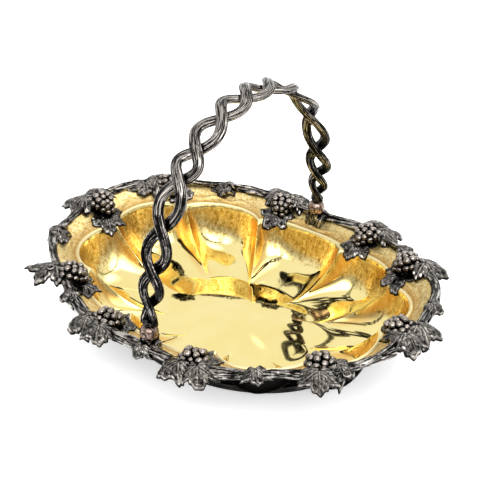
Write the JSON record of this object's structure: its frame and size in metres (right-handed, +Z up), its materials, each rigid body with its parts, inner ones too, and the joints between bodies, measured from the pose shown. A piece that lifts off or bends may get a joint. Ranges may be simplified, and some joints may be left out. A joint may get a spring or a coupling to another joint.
{
  "type": "swing-handled fruit basket",
  "caption": "Oval lobed bowl on an oval foot, with a cast grapevine border of leaves and grape bunches and a twisted-stem swing handle.",
  "frame": {"origin": "centre of the foot's oval, on the plane that the foot stands on", "axes": "+X along the bowl's long axis, +Y along the handle's pins, +Z up"},
  "size_m": [0.3502, 0.2703, 0.2101],
  "materials": {
    "gilt": "polished gilding inside, finely stippled on the flange",
    "oxidised_silver": "dark oxidised silver, worn bright on the high points",
    "handle_silver": "dark oxidised silver with bark grooves",
    "foot_silver": "nearly black oxidised silver, smooth"
  },
  "bodies": {
    "basket": {"bowl": "gilt", "foot_ring": "foot_silver", "grape_bunch_01": "oxidised_silver", "grape_bunch_02": "oxidised_silver", "grape_bunch_03": "oxidised_silver", "grape_bunch_04": "oxidised_silver", "grape_bunch_05": "oxidised_silver", "grape_bunch_06": "oxidised_silver", "grape_bunch_07": "oxidised_silver", "grape_bunch_08": "oxidised_silver", "grape_bunch_09": "oxidised_silver", "grape_bunch_10": "oxidised_silver", "hinge_lug_1": "oxidised_silver", "hinge_lug_2": "oxidised_silver", "hinge_pin_1": "oxidised_silver", "hinge_pin_2": "oxidised_silver", "lug_leaf_1": "oxidised_silver", "lug_leaf_2": "oxidised_silver", "vine_branch_01": "oxidised_silver", "vine_branch_02": "oxidised_silver", "vine_branch_03": "oxidised_silver", "vine_branch_04": "oxidised_silver", "vine_branch_05": "oxidised_silver", "vine_branch_06": "oxidised_silver", "vine_branch_07": "oxidised_silver", "vine_branch_08": "oxidised_silver", "vine_branch_09": "oxidised_silver", "vine_branch_10": "oxidised_silver", "vine_leaf_01_a": "oxidised_silver", "vine_leaf_01_b": "oxidised_silver", "vine_leaf_01_c": "oxidised_silver", "vine_leaf_02_a": "oxidised_silver", "vine_leaf_02_b": "oxidised_silver", "vine_leaf_03_a": "oxidised_silver", "vine_leaf_03_b": "oxidised_silver", "vine_leaf_03_c": "oxidised_silver", "vine_leaf_04_a": "oxidised_silver", "vine_leaf_04_b": "oxidised_silver", "vine_leaf_04_c": "oxidised_silver", "vine_leaf_05_a": "oxidised_silver", "vine_leaf_05_b": "oxidised_silver", "vine_leaf_06_a": "oxidised_silver", "vine_leaf_06_b": "oxidised_silver", "vine_leaf_06_c": "oxidised_silver", "vine_leaf_07_a": "oxidised_silver", "vine_leaf_07_b": "oxidised_silver", "vine_leaf_08_a": "oxidised_silver", "vine_leaf_08_b": "oxidised_silver", "vine_leaf_08_c": "oxidised_silver", "vine_leaf_09_a": "oxidised_silver", "vine_leaf_09_b": "oxidised_silver", "vine_leaf_09_c": "oxidised_silver", "vine_leaf_10_a": "oxidised_silver", "vine_leaf_10_b": "oxidised_silver"},
    "handle": {"handle_knuckle_1": "handle_silver", "handle_knuckle_2": "handle_silver", "handle_strand_1": "handle_silver", "handle_strand_2": "handle_silver"}
  },
  "joints": [
    {"name": "handle_swing", "type": "hinge", "parent": "basket", "child": "handle", "pos_m": [0, 0, 0.0575], "axis": [0, 1, 0], "range_deg": [-73, 67]}
  ]
}
